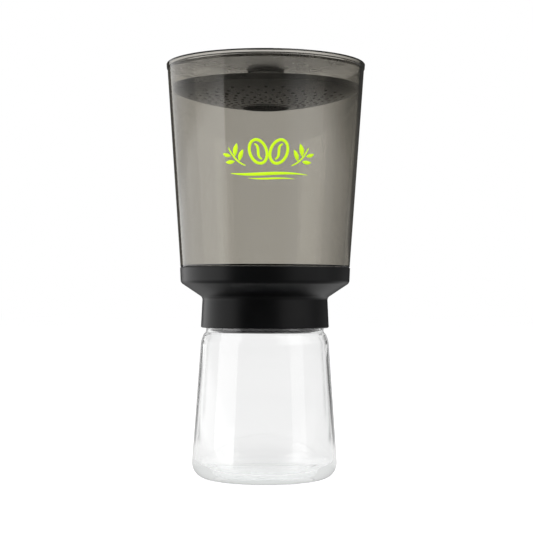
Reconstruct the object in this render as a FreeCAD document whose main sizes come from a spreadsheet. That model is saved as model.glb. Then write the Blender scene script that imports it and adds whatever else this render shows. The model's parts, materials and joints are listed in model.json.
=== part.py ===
import FreeCAD, Part

import math
import os

import Sketcher

# Cold brew coffee maker. Millimetres, +Z up, origin at the centre of the carafe's foot.
# A brewer (smoky container on a black base) stands on a glass carafe. A sprung plunger
# in the base rests on the carafe's rim and opens the drain valve while the brewer is down.

doc = FreeCAD.newDocument("ColdBrewMaker")
sheet = doc.addObject("Spreadsheet::Sheet", "Dimensions")

SIZES = {
    # glass carafe
    "foot_radius": 50.4,
    "foot_rounding": 10.0,
    "foot_ring_inner": 36.0,
    "punt_height": 2.2,
    "punt_edge": 3.0,
    "punt_fall": 0.66,
    "punt_rounding": 4.0,
    "glass_floor": 3.0,
    "glass_floor_rise": 1.76,
    "glass_wall": 2.2,
    "body_height": 92.0,
    "body_step": 3.35,  # beyond the neck
    "body_rounding": 12.0,
    "shoulder_drop": 1.75,
    "shoulder_height": 4.9,
    "shoulder_rounding": 6.0,
    "shoulder_thickening": 0.96,
    "shoulder_inner_rounding": 3.5,
    "neck_radius": 39.8,
    "neck_start": 1.5,  # above the shoulder
    "neck_rounding": 1.2,
    "neck_thickening": 0.96,
    "neck_inner_rounding": 3.0,
    "glass_rim": 17.1,  # above the start of the neck
    # gaps and roundings that repeat
    "rest_gap": 0.3,
    "slip_gap": 0.05,
    "edge_rounding": 0.4,
    "soft_rounding": 0.6,
    # plunger cup and valve
    "pad_thickness": 0.8,
    "cup_flange": 2.7,
    "cup_overlap": 0.4,
    "cup_gap": 0.6,
    "cup_wall": 1.8,
    "cup_depth": 17.6,
    "cup_fall": 1.4,
    "cup_rounding": 2.4,
    "cup_inner_rounding": 1.4,
    "cup_foot_rounding": 3.0,
    "outlet_radius": 3.0,
    "outlet_circle": 17.0,
    "outlet_count": 8,
    "stem_radius": 4.0,
    "stem_spigot": 2.5,
    "stem_foot": 6.5,
    "stem_foot_height": 2.0,
    "spring_seat_radius": 8.0,
    "spring_seat_height": 1.6,
    "spring_wire": 0.9,
    "spring_radius": 5.65,
    "spring_length": 14.0,
    "spring_turns": 5.5,
    "seal_radius": 11.0,
    "seal_thickness": 2.5,
    "cap_radius": 6.0,
    "cap_thickness": 1.2,
    "valve_opening": 4.0,
    # black base housing
    "web_thickness": 4.0,
    "web_hole": 16.0,
    "collar_gap": 0.9,
    "collar_flare": 0.3,
    "collar_wall": 1.7,
    "collar_hem": 2.4,
    "collar_length": 20.4,
    "cone_height": 9.9,
    "cone_wall": 3.1,
    "cone_rounding": 3.0,
    "hem_rounding": 0.9,
    "band_height": 10.3,
    "band_draft": 0.45,
    "band_reveal": 0.3,
    "band_rounding": 3.5,
    "rib_radius": 50.0,
    "rib_wall": 2.0,
    "seam_land": 1.7,
    "seam_depth": 0.8,
    "ring_height": 4.0,
    "ring_rise": 2.8,
    "ring_bite": 1.0,
    "ring_clearance": 0.4,
    # floor pan
    "pan_gap": 0.4,
    "pan_floor": 2.5,
    "drain_radius": 7.5,
    "sump_radius": 28.6,
    "sump_wall": 2.4,
    "sump_rounding": 2.0,
    "ledge_width": 4.0,
    "ledge_rise": 1.4,
    "filter_recess": 4.0,
    "pan_radius": 52.2,
    "upstand_wall": 2.0,
    "upstand_height": 2.0,
    "floor_fall": 1.4,
    "floor_rounding": 1.5,
    "clamp_thickness": 1.6,
    "gasket_thickness": 1.2,
    "spigot_depth": 1.4,
    "tube_radius": 13.0,
    "tube_wall": 2.0,
    "guide_height": 4.0,
    "guide_gap": 0.1,
    "guide_sleeve": 2.4,
    "guide_rim": 1.5,
    "guide_spoke": 2.2,
    "guide_spokes": 3,
    # screws
    "screw_circle": 36.0,
    "screw_count": 3,
    "screw_radius": 1.5,
    "screw_length": 12.0,
    "screw_head_radius": 2.9,
    "screw_head_height": 1.7,
    "screw_recess": 2.0,
    "screw_slot": 1.0,
    "screw_slot_depth": 1.0,
    "boss_radius": 3.3,
    # smoky container
    "container_height": 137.9,
    "container_foot": 57.4,
    "container_mouth": 67.05,
    "container_wall": 2.4,
    "lip_height": 3.6,
    "lip_overhang": 0.45,
    "lip_rounding": 1.15,
    "flare_height": 0.9,
    "flare_rounding": 0.8,
    "skirt_rounding": 1.0,
    "skirt_radius": 55.0,
    "skirt_wall": 2.6,
    "skirt_depth": 7.7,
    "flange_thickness": 2.4,
    "flange_inner": 46.0,
    # filter
    "filter_gap": 0.8,
    "filter_margin": 0.4,
    "mesh_thickness": 0.4,
    "mesh_radius": 28.3,
    "grid_rim": 3.8,
    "grid_rim_height": 2.5,
    "grid_web": 1.6,
    "grid_hub": 3.5,
    "grid_foot": 5.5,
    "grid_hoop": 15.0,
    "grid_spoke": 2.0,
    "grid_spokes": 6,
    "hub_height": 1.5,
    "clamp_ring": 1.4,
    "knob_neck": 5.0,
    "knob_rounding": 0.9,
    "knob_disc": 8.0,
    "knob_disc_height": 2.0,
    "knob_height": 5.3,
    # rainmaker
    "dish_drop": 15.1,
    "dish_rim": 3.9,
    "dish_depth": 11.0,
    "dish_wall": 2.0,
    "dish_hole": 16.0,
    "dish_collar": 1.4,
    "dish_collar_height": 4.0,
    "dish_bead": 0.4,
    "dish_rounding": 0.7,
    "dish_corner_rise": 1.4,
    "rain_hole": 1.25,
    "rain_columns": 30,
    "rain_rings": 8,
    "rain_first": 22.4,
    "rain_step": 3.9,
    "rain_widening": 0.12,
    "handle_foot": 2.0,
    "handle_foot_height": 4.2,
    "handle_wall": 2.2,
    "handle_drop": 8.2,
    "handle_waist": 14.0,
    "handle_waist_drop": 15.0,
    "handle_crown": 13.3,
    "handle_rounding": 3.5,
    "handle_foot_rounding": 2.0,
    "handle_waist_rounding": 8.0,
    "handle_inner_rounding": 4.0,
    # lid
    "lid_drop": 1.8,
    "lid_thickness": 2.8,
    "lid_stem": 4.0,
    "lid_catch": 6.0,
    "lid_catch_height": 1.4,
    "lid_knob": 12.9,
    "lid_knob_height": 6.0,
    "lid_knob_rounding": 4.5,
}


class Size:
    """A length known as a number and as the sheet expression that gives it."""

    def __init__(self, number, text):
        self.number = number
        self.text = text

    def __add__(self, other):
        return joined(self, "+", other, self.number + number_of(other))

    def __radd__(self, other):
        return joined(other, "+", self, number_of(other) + self.number)

    def __sub__(self, other):
        return joined(self, "-", other, self.number - number_of(other))

    def __rsub__(self, other):
        return joined(other, "-", self, number_of(other) - self.number)

    def __mul__(self, other):
        return joined(self, "*", other, self.number * number_of(other))

    def __rmul__(self, other):
        return joined(other, "*", self, number_of(other) * self.number)

    def __truediv__(self, other):
        return joined(self, "/", other, self.number / number_of(other))


def number_of(value):
    return value.number if isinstance(value, Size) else float(value)


def text_of(value):
    return value.text if isinstance(value, Size) else repr(float(value))


def joined(left, sign, right, number):
    return Size(number, f"({text_of(left)} {sign} {text_of(right)})")


def fill_sheet():
    """Write each size to the sheet and give it back as a Size of the same name."""
    sizes = {}
    for row, (alias, number) in enumerate(SIZES.items(), start=1):
        sheet.set(f"A{row}", alias.replace("_", " "))
        sheet.set(f"B{row}", str(number))
        sheet.setAlias(f"B{row}", alias)
        sizes[alias] = Size(float(number), f"{sheet.Name}.{alias}")
    doc.recompute()
    return sizes


class Corner:
    """A corner of an outline. The edge that leaves a domed corner is an arc about the axis."""

    def __init__(self, across, up, rounding=None, domed=False):
        self.across = across
        self.up = up
        self.rounding = rounding
        self.domed = domed

    def point(self):
        return FreeCAD.Vector(number_of(self.across), number_of(self.up), 0)


def new_body(label):
    body = doc.addObject("PartDesign::Body", label)
    body.Label = label
    return body


def new_sketch(body, name, role, height=None):
    """A sketch on one of the body's own planes, lifted along the plane's normal."""
    plane = next(f for f in body.Origin.OriginFeatures if f.Role == role)
    sketch = body.newObject("Sketcher::SketchObject", name)
    sketch.AttachmentSupport = [(plane, "")]
    sketch.MapMode = "FlatFace"
    if height is not None:
        lift = FreeCAD.Vector(0, 0, number_of(height))
        sketch.AttachmentOffset = FreeCAD.Placement(lift, FreeCAD.Rotation())
        sketch.setExpression("AttachmentOffset.Base.z", text_of(height))
    return sketch


def bind(sketch, kind, *members, value):
    """Add a dimension to a sketch and tie it to the sheet."""
    index = sketch.addConstraint(Sketcher.Constraint(kind, *members, number_of(value)))
    if isinstance(value, Size):
        sketch.setExpression(f"Constraints[{index}]", value.text)


def place(sketch, geometry, vertex, across, up):
    """Hold one point of a sketch at its distances from the two axes."""
    if number_of(across) == 0:
        sketch.addConstraint(Sketcher.Constraint("PointOnObject", geometry, vertex, -2))
    else:
        bind(sketch, "DistanceX", -1, 1, geometry, vertex, value=across)
    if number_of(up) == 0:
        sketch.addConstraint(Sketcher.Constraint("PointOnObject", geometry, vertex, -1))
    else:
        bind(sketch, "DistanceY", -1, 1, geometry, vertex, value=up)


def tangent_points(before, corner, after, radius):
    """Where a rounding of this radius leaves the two edges of a corner."""
    inward = (before - corner).normalize()
    outward = (after - corner).normalize()
    half = inward.getAngle(outward) / 2
    reach = radius / math.tan(half)
    centre = corner + (inward + outward).normalize() * (radius / math.sin(half))
    return corner + inward * reach, corner + outward * reach, centre


def draw_outline(sketch, corners):
    """Draw a closed outline through the corners and bind every corner to the sheet."""
    count = len(corners)
    points = [corner.point() for corner in corners]
    arrive = list(points)
    leave = list(points)
    centres = [None] * count
    for i, corner in enumerate(corners):
        if corner.rounding is not None:
            arrive[i], leave[i], centres[i] = tangent_points(
                points[i - 1], points[i], points[(i + 1) % count], number_of(corner.rounding))

    # Each edge is (geometry, its first vertex, its last vertex).
    edges = []
    for i, corner in enumerate(corners):
        start = leave[i]
        end = arrive[(i + 1) % count]
        if corner.domed:
            height = (end.x ** 2 + end.y ** 2 - start.x ** 2 - start.y ** 2) / (2 * (end.y - start.y))
            middle = FreeCAD.Vector(0, height, 0)
            angles = [math.atan2(p.y - middle.y, p.x) for p in (start, end)]
            circle = Part.Circle(middle, FreeCAD.Vector(0, 0, 1), (start - middle).Length)
            geometry = sketch.addGeometry(Part.ArcOfCircle(circle, min(angles), max(angles)))
            sketch.addConstraint(Sketcher.Constraint("PointOnObject", geometry, 3, -2))
            forward = angles[0] < angles[1]
            edges.append((geometry, 1 if forward else 2, 2 if forward else 1))
        else:
            edges.append((sketch.addGeometry(Part.LineSegment(start, end)), 1, 2))

    for i, corner in enumerate(corners):
        before, after = edges[i - 1], edges[i]
        if corner.rounding is None:
            sketch.addConstraint(
                Sketcher.Constraint("Coincident", before[0], before[2], after[0], after[1]))
            place(sketch, after[0], after[1], corner.across, corner.up)
            continue
        # The sharp corner stays as a construction point on both edges.
        first = math.atan2(arrive[i].y - centres[i].y, arrive[i].x - centres[i].x)
        last = math.atan2(leave[i].y - centres[i].y, leave[i].x - centres[i].x)
        turn = (points[i] - points[i - 1]).cross(points[(i + 1) % count] - points[i]).z
        start, end = (first, last) if turn > 0 else (last, first)
        if end < start:
            end += 2 * math.pi
        circle = Part.Circle(centres[i], FreeCAD.Vector(0, 0, 1), number_of(corner.rounding))
        arc = sketch.addGeometry(Part.ArcOfCircle(circle, start, end))
        arc_first, arc_last = (1, 2) if turn > 0 else (2, 1)
        sharp = sketch.addGeometry(Part.Point(points[i]), True)
        sketch.addConstraint([
            Sketcher.Constraint("Tangent", before[0], before[2], arc, arc_first),
            Sketcher.Constraint("Tangent", after[0], after[1], arc, arc_last),
            Sketcher.Constraint("PointOnObject", sharp, 1, before[0]),
            Sketcher.Constraint("PointOnObject", sharp, 1, after[0])])
        bind(sketch, "Radius", arc, value=corner.rounding)
        place(sketch, sharp, 1, corner.across, corner.up)


def turned(label, corners):
    """A body turned about Z from one closed outline, given as (across, up) corners."""
    body = new_body(label)
    sketch = new_sketch(body, label + "_section", "XZ_Plane")
    draw_outline(sketch, corners)
    turn = body.newObject("PartDesign::Revolution", label + "_turn")
    turn.Profile = sketch
    turn.ReferenceAxis = (sketch, ["V_Axis"])
    turn.Angle = 360
    return body


def ring(label, inner, outer, bottom, top, rounding=None):
    """A plain turned ring, or a disc where the inner radius is 0."""
    return turned(label, [
        Corner(inner, bottom), Corner(outer, bottom, rounding),
        Corner(outer, top, rounding), Corner(inner, top)])


def draw_circles(sketch, circles):
    """Circles given as (across, up, radius)."""
    for across, up, radius in circles:
        middle = FreeCAD.Vector(number_of(across), number_of(up), 0)
        circle = Part.Circle(middle, FreeCAD.Vector(0, 0, 1), number_of(radius))
        geometry = sketch.addGeometry(circle)
        bind(sketch, "Radius", geometry, value=radius)
        place(sketch, geometry, 3, across, up)


def draw_window(sketch, inner, outer, spoke, count):
    """A window between two radii and two straight spokes, centred on the sketch's X axis."""
    half = math.pi / count
    edge = number_of(spoke) / 2
    near, far = number_of(inner), number_of(outer)
    side = FreeCAD.Vector(math.cos(half), math.sin(half), 0)
    inset = FreeCAD.Vector(math.sin(half), -math.cos(half), 0) * edge
    inner_point = side * math.sqrt(near ** 2 - edge ** 2) + inset
    outer_point = side * math.sqrt(far ** 2 - edge ** 2) + inset
    axis = FreeCAD.Vector(0, 0, 1)
    origin = FreeCAD.Vector(0, 0, 0)
    inner_angle = math.atan2(inner_point.y, inner_point.x)
    outer_angle = math.atan2(outer_point.y, outer_point.x)
    inner_low = FreeCAD.Vector(inner_point.x, -inner_point.y, 0)
    outer_low = FreeCAD.Vector(outer_point.x, -outer_point.y, 0)
    inner_arc = sketch.addGeometry(
        Part.ArcOfCircle(Part.Circle(origin, axis, near), -inner_angle, inner_angle))
    outer_arc = sketch.addGeometry(
        Part.ArcOfCircle(Part.Circle(origin, axis, far), -outer_angle, outer_angle))
    upper = sketch.addGeometry(Part.LineSegment(inner_point, outer_point))
    lower = sketch.addGeometry(Part.LineSegment(inner_low, outer_low))
    # The spokes' centre lines, half a step to either side of the window.
    rays = [sketch.addGeometry(Part.LineSegment(origin, side * far), True),
            sketch.addGeometry(
                Part.LineSegment(origin, FreeCAD.Vector(side.x, -side.y, 0) * far), True)]
    sketch.addConstraint([
        Sketcher.Constraint("Coincident", inner_arc, 3, -1, 1),
        Sketcher.Constraint("Coincident", outer_arc, 3, -1, 1),
        Sketcher.Constraint("Coincident", inner_arc, 2, upper, 1),
        Sketcher.Constraint("Coincident", outer_arc, 2, upper, 2),
        Sketcher.Constraint("Coincident", inner_arc, 1, lower, 1),
        Sketcher.Constraint("Coincident", outer_arc, 1, lower, 2)])
    for ray, line, sign in ((rays[0], upper, 1), (rays[1], lower, -1)):
        sketch.addConstraint([
            Sketcher.Constraint("Coincident", ray, 1, -1, 1),
            Sketcher.Constraint("PointOnObject", ray, 2, outer_arc),
            Sketcher.Constraint("Angle", -1, ray, sign * half),
            Sketcher.Constraint("Parallel", ray, line)])
        bind(sketch, "Distance", line, 1, ray, value=spoke / 2)
    bind(sketch, "Radius", inner_arc, value=inner)
    bind(sketch, "Radius", outer_arc, value=outer)


def pad(body, sketch, name, length):
    feature = body.newObject("PartDesign::Pad", name)
    feature.Profile = sketch
    feature.Length = number_of(length)
    feature.setExpression("Length", text_of(length))
    return feature


def pocket(body, sketch, name, length, upward=False):
    """Cut a sketch's outline down from its plane, or up from it."""
    doc.recompute()
    before = body.Shape.Volume
    feature = body.newObject("PartDesign::Pocket", name)
    feature.Profile = sketch
    feature.Length = number_of(length)
    feature.setExpression("Length", text_of(length))
    feature.Reversed = upward
    doc.recompute()
    if not body.Shape.Volume < before:
        raise RuntimeError(f"{name} cuts nothing")
    return feature


def repeat(body, sketch, features, name, count):
    """Repeat features around Z."""
    pattern = body.newObject("PartDesign::PolarPattern", name)
    pattern.Originals = features
    pattern.Axis = (sketch, ["N_Axis"])
    pattern.Angle = 360
    pattern.Occurrences = int(number_of(count))
    pattern.setExpression("Occurrences", text_of(count))
    body.Tip = pattern
    return pattern


size = fill_sheet()
half_rim = size["glass_wall"] / 2 - size["slip_gap"]

# Heights, from the carafe's shoulder up. Each stands on the one below it.
shoulder_top = size["body_height"] + size["shoulder_height"]
neck_start = shoulder_top + size["neck_start"]
glass_rim = neck_start + size["glass_rim"]
pad_bottom = glass_rim + size["rest_gap"]
flange_bottom = pad_bottom + size["pad_thickness"]
flange_top = flange_bottom + size["cup_flange"]
stop_face = flange_top + size["rest_gap"]
web_top = stop_face + size["web_thickness"]
pan_bottom = web_top + size["pan_gap"]
sump_floor = pan_bottom + size["pan_floor"]
seal_bottom = sump_floor + size["valve_opening"]
seal_top = seal_bottom + size["seal_thickness"]
cap_top = seal_top + size["cap_thickness"]
grid_bottom = cap_top + size["filter_gap"]
ledge = cap_top + size["ledge_rise"]
floor_low = ledge + size["filter_recess"]
floor_high = floor_low + size["floor_fall"]
gasket_top = floor_low - size["clamp_thickness"]
clamp_face = gasket_top - size["gasket_thickness"]
rib_top = clamp_face - size["flange_thickness"]
shoulder = rib_top + size["skirt_depth"]
rim = shoulder + size["container_height"]

# Heights of the cup, the valve stem's seat and the filter's layers.
cup_bottom = flange_bottom - size["cup_depth"]
cup_centre = cup_bottom - size["cup_fall"]
cup_floor = cup_centre + size["cup_wall"]
spring_seat = pan_bottom - size["guide_height"] - size["spring_length"]
mesh_bottom = grid_bottom + size["grid_rim_height"]
mesh_top = mesh_bottom + size["mesh_thickness"]

# Radii of the collar and of what slides in it.
collar_inner = size["neck_radius"] + size["collar_gap"]
collar_outer = collar_inner + size["collar_wall"]
cup_radius = size["neck_radius"] - size["glass_wall"] - size["cup_gap"]
cup_inner = cup_radius - size["cup_wall"]
flange_radius = size["neck_radius"] + size["cup_overlap"]

# The housing's band, cone and collar, from the top down.
band_top = shoulder - size["band_reveal"]
band_radius = size["container_foot"] + size["band_reveal"]
band_inner = size["skirt_radius"] + size["rest_gap"]
band_bottom = band_top - size["band_height"]
band_foot = band_radius - size["band_draft"]
cone_bottom = band_bottom - size["cone_height"]
hem = cone_bottom - size["collar_length"]
hem_inner = collar_inner + size["collar_flare"]
groove_bottom = hem + size["ring_rise"]
groove_top = groove_bottom + size["ring_height"]
groove = hem_inner + size["ring_bite"]
seam_floor = band_top - size["seam_depth"]
seam_outer = band_inner + size["seam_land"]

# The filter's recess and the dish, which the container's taper holds.
ledge_outer = size["sump_radius"] + size["ledge_width"]
filter_radius = ledge_outer - size["filter_margin"]
taper = (size["container_mouth"] - size["container_foot"]) / size["container_height"]
dish_top = rim - size["dish_drop"]
dish_shoulder = dish_top - size["dish_rim"]
bowl = dish_shoulder - size["dish_depth"]
mouth_reach = size["container_wall"] + size["rest_gap"]
dish_foot = size["container_mouth"] - (rim - dish_shoulder) * taper - mouth_reach
dish_collar = size["dish_hole"] + size["dish_collar"]

# The lid, which the taper holds just under the rim.
lid_top = rim - size["lid_drop"]
lid_bottom = lid_top - size["lid_thickness"]


def carafe():
    """Blown glass: a flared body, a soft shoulder and a straight neck."""
    foot = size["foot_radius"]
    wall = size["glass_wall"]
    body_height = size["body_height"]
    neck = size["neck_radius"]
    body_top = neck + size["body_step"]
    shoulder_edge = body_top - size["shoulder_drop"]
    floor_edge = size["glass_floor"] + size["glass_floor_rise"]
    inner_foot = foot - wall - floor_edge * (foot - body_top) / body_height
    return turned("carafe", [
        Corner(0, size["punt_height"]),
        Corner(size["foot_ring_inner"] - size["punt_edge"],
               size["punt_height"] - size["punt_fall"], size["punt_rounding"]),
        Corner(size["foot_ring_inner"], 0),
        Corner(foot, 0, size["foot_rounding"]),
        Corner(body_top, body_height, size["body_rounding"]),
        Corner(shoulder_edge, shoulder_top, size["shoulder_rounding"]),
        Corner(neck, neck_start, size["neck_rounding"]),
        Corner(neck, glass_rim, half_rim),
        Corner(neck - wall, glass_rim, half_rim),
        Corner(neck - wall, neck_start - size["neck_thickening"], size["neck_inner_rounding"]),
        Corner(shoulder_edge - wall, shoulder_top - size["shoulder_thickening"],
               size["shoulder_inner_rounding"]),
        Corner(body_top - wall, body_height, size["body_rounding"] - wall),
        Corner(inner_foot, floor_edge, size["foot_rounding"] - wall),
        Corner(0, size["punt_height"] + size["glass_floor"])])


def rim_pad():
    return ring("rim_pad", cup_radius + size["rest_gap"], flange_radius, pad_bottom, flange_bottom)


def plunger_cup():
    """A funnel with a flange that rests on the glass rim, through the pad."""
    foot = size["stem_foot"]
    body = turned("plunger_cup", [
        Corner(size["stem_spigot"], cup_centre),
        Corner(foot, cup_centre, size["cup_foot_rounding"]),
        Corner(cup_radius, cup_bottom, size["cup_rounding"]),
        Corner(cup_radius, flange_bottom),
        Corner(flange_radius, flange_bottom),
        Corner(flange_radius, flange_top, size["edge_rounding"]),
        Corner(cup_inner, flange_top, size["soft_rounding"]),
        Corner(cup_inner, cup_bottom + size["cup_wall"], size["cup_inner_rounding"]),
        Corner(foot, cup_floor),
        Corner(size["stem_spigot"], cup_floor)])
    outlets = new_sketch(body, "outlet_places", "XY_Plane", flange_bottom)
    draw_circles(outlets, [(size["outlet_circle"], 0, size["outlet_radius"])])
    outlet = pocket(body, outlets, "outlet", size["cup_depth"] + size["cup_fall"])
    repeat(body, outlets, [outlet], "outlets", size["outlet_count"])
    return body


def valve_stem():
    """Stands on the cup's floor, carries the spring seat and the poppet."""
    seat_bottom = spring_seat - size["spring_seat_height"]
    foot_top = cup_floor + size["stem_foot_height"]
    return turned("valve_stem", [
        Corner(0, cup_centre),
        Corner(size["stem_spigot"], cup_centre),
        Corner(size["stem_spigot"], cup_floor),
        Corner(size["stem_foot"], cup_floor),
        Corner(size["stem_foot"], foot_top, size["soft_rounding"]),
        Corner(size["stem_radius"], foot_top),
        Corner(size["stem_radius"], seat_bottom),
        Corner(size["spring_seat_radius"], seat_bottom, size["edge_rounding"]),
        Corner(size["spring_seat_radius"], spring_seat, size["edge_rounding"]),
        Corner(size["stem_radius"], spring_seat),
        Corner(size["stem_radius"], seal_bottom),
        Corner(size["stem_spigot"], seal_bottom),
        Corner(size["stem_spigot"], cap_top, size["edge_rounding"]),
        Corner(0, cap_top)])


def poppet_seal():
    return ring("poppet_seal", size["stem_spigot"], size["seal_radius"],
                seal_bottom, seal_top, size["edge_rounding"])


def poppet_cap():
    return ring("poppet_cap", size["stem_spigot"], size["cap_radius"],
                seal_top, cap_top, size["edge_rounding"])


def valve_spring():
    """A coil spring between the stem's seat and the guide above it."""
    body = new_body("valve_spring")
    wire = size["spring_wire"]
    section = new_sketch(body, "wire_section", "XZ_Plane")
    draw_circles(section, [(size["spring_radius"], spring_seat + wire / 2, wire / 2)])
    coil = body.newObject("PartDesign::AdditiveHelix", "coil")
    coil.Profile = section
    coil.ReferenceAxis = (section, ["V_Axis"])
    coil.Mode = 2
    coil.Height = number_of(size["spring_length"] - wire)
    coil.setExpression("Height", text_of(size["spring_length"] - wire))
    coil.Turns = number_of(size["spring_turns"])
    coil.setExpression("Turns", text_of(size["spring_turns"]))
    return body


def valve_guide():
    """A three-spoked spider: its sleeve guides the stem and its underside holds the spring."""
    outer = size["tube_radius"] - size["slip_gap"]
    bore = size["stem_radius"] + size["guide_gap"]
    body = new_body("valve_guide")
    height = pan_bottom - size["guide_height"]
    disc = new_sketch(body, "guide_disc", "XY_Plane", height)
    draw_circles(disc, [(0, 0, outer), (0, 0, bore)])
    pad(body, disc, "guide_plate", size["guide_height"])
    window = new_sketch(body, "guide_window", "XY_Plane", height)
    draw_window(window, bore + size["guide_sleeve"], outer - size["guide_rim"],
                size["guide_spoke"], SIZES["guide_spokes"])
    cut = pocket(body, window, "guide_opening", size["guide_height"], upward=True)
    repeat(body, window, [cut], "guide_openings", size["guide_spokes"])
    return body


def base_housing():
    """Band, cone and collar in one shell, closed by a web above the plunger cup."""
    slope = size["cone_height"] / (band_foot - collar_outer)
    rib_inner = size["rib_radius"]
    rib_outer = rib_inner + size["rib_wall"]
    inner_start = cone_bottom + size["cone_wall"]

    def inner_cone(across):
        return inner_start + (across - collar_outer) * slope

    web_edge = collar_outer + (web_top - inner_start) / slope
    body = turned("base_housing", [
        Corner(size["web_hole"], stop_face),
        Corner(collar_inner, stop_face, size["edge_rounding"]),
        Corner(hem_inner, groove_top),
        Corner(groove, groove_top),
        Corner(groove, groove_bottom),
        Corner(hem_inner, groove_bottom),
        Corner(hem_inner, hem, size["soft_rounding"]),
        Corner(hem_inner + size["collar_hem"], hem, size["hem_rounding"]),
        Corner(collar_outer, cone_bottom, size["cone_rounding"]),
        Corner(band_foot, band_bottom, size["band_rounding"]),
        Corner(band_radius, band_top, size["edge_rounding"]),
        Corner(seam_outer, band_top),
        Corner(seam_outer, seam_floor),
        Corner(band_inner, seam_floor),
        Corner(band_inner, inner_cone(band_inner)),
        Corner(rib_outer, inner_cone(rib_outer)),
        Corner(rib_outer, rib_top),
        Corner(rib_inner, rib_top),
        Corner(rib_inner, inner_cone(rib_inner)),
        Corner(web_edge, web_top),
        Corner(size["web_hole"], web_top)])
    recesses = new_sketch(body, "screw_recess_places", "XY_Plane", stop_face)
    recess_radius = size["screw_head_radius"] + size["rest_gap"]
    draw_circles(recesses, [(size["screw_circle"], 0, recess_radius)])
    recess = pocket(body, recesses, "screw_recess", size["screw_recess"], upward=True)
    holes = new_sketch(body, "screw_hole_places", "XY_Plane", stop_face)
    draw_circles(holes, [(size["screw_circle"], 0, size["screw_radius"] + size["guide_gap"])])
    hole = pocket(body, holes, "screw_hole", size["web_thickness"] + size["pan_gap"], upward=True)
    repeat(body, holes, [recess, hole], "screw_holes", size["screw_count"])
    return body


def neck_ring():
    """Soft ring in the collar's groove, clear of the glass neck all round."""
    inner = size["neck_radius"] + size["ring_clearance"]
    return turned("neck_ring", [
        Corner(inner, groove_bottom, size["edge_rounding"]),
        Corner(groove, groove_bottom),
        Corner(groove, groove_top),
        Corner(inner, groove_top, size["edge_rounding"])])


def seam_gasket():
    return ring("seam_gasket", band_inner, seam_outer, seam_floor, shoulder)


def floor_gasket():
    inner = size["flange_inner"] + size["rest_gap"]
    return ring("floor_gasket", inner, size["pan_radius"], clamp_face, gasket_top)


def floor_pan():
    """Floor of the brewing chamber, with a ledge for the filter and a sump with the drain."""
    sump = size["sump_radius"]
    sump_outer = sump + size["sump_wall"]
    ledge_wall = ledge_outer + size["sump_wall"]
    shelf = ledge - size["sump_wall"]
    wall_top = floor_high + size["upstand_height"]
    pan = size["pan_radius"]
    spigot = size["flange_inner"] - size["rest_gap"]
    underside = gasket_top - size["spigot_depth"]
    tube = size["tube_radius"]
    tube_bottom = pan_bottom - size["guide_height"]
    upstand = pan - size["upstand_wall"]
    body = turned("floor_pan", [
        Corner(size["drain_radius"], pan_bottom),
        Corner(tube, pan_bottom),
        Corner(tube, tube_bottom),
        Corner(tube + size["tube_wall"], tube_bottom),
        Corner(tube + size["tube_wall"], pan_bottom),
        Corner(sump_outer, pan_bottom, size["floor_rounding"]),
        Corner(sump_outer, shelf),
        Corner(ledge_wall, shelf),
        Corner(ledge_wall, underside),
        Corner(spigot, underside),
        Corner(spigot, gasket_top),
        Corner(pan, gasket_top),
        Corner(pan, wall_top, size["edge_rounding"]),
        Corner(upstand, wall_top, size["edge_rounding"]),
        Corner(upstand, floor_high, size["floor_rounding"]),
        Corner(ledge_outer, floor_low, size["edge_rounding"]),
        Corner(ledge_outer, ledge),
        Corner(sump, ledge, size["edge_rounding"]),
        Corner(sump, sump_floor, size["sump_rounding"]),
        Corner(size["drain_radius"], sump_floor, size["edge_rounding"])])
    bosses = new_sketch(body, "boss_places", "XY_Plane", web_top)
    draw_circles(bosses, [(size["screw_circle"], 0, size["boss_radius"])])
    boss = pad(body, bosses, "boss", underside - web_top + size["slip_gap"])
    holes = new_sketch(body, "thread_places", "XY_Plane", web_top)
    draw_circles(holes, [(size["screw_circle"], 0, size["screw_radius"] + size["slip_gap"])])
    depth = size["screw_length"] + size["screw_recess"] - size["web_thickness"] + size["rest_gap"]
    thread = pocket(body, holes, "thread", depth, upward=True)
    repeat(body, holes, [boss, thread], "bosses", size["screw_count"])
    return body


def base_screws():
    """Pan-head screws, driven up through the web into the floor pan's bosses."""
    body = new_body("base_screws")
    body.AllowCompound = True
    bearing = stop_face + size["screw_recess"]
    head_bottom = bearing - size["screw_head_height"]
    heads = new_sketch(body, "head_places", "XY_Plane", head_bottom)
    draw_circles(heads, [(size["screw_circle"], 0, size["screw_head_radius"])])
    head = pad(body, heads, "head", size["screw_head_height"])
    shanks = new_sketch(body, "shank_places", "XY_Plane", bearing)
    draw_circles(shanks, [(size["screw_circle"], 0, size["screw_radius"])])
    shank = pad(body, shanks, "shank", size["screw_length"])
    slots = new_sketch(body, "slot_places", "XY_Plane", head_bottom)
    draw_circles(slots, [(size["screw_circle"], 0, size["screw_slot"])])
    slot = pocket(body, slots, "slot", size["screw_slot_depth"], upward=True)
    repeat(body, heads, [head, shank, slot], "screws", size["screw_count"])
    return body


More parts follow.
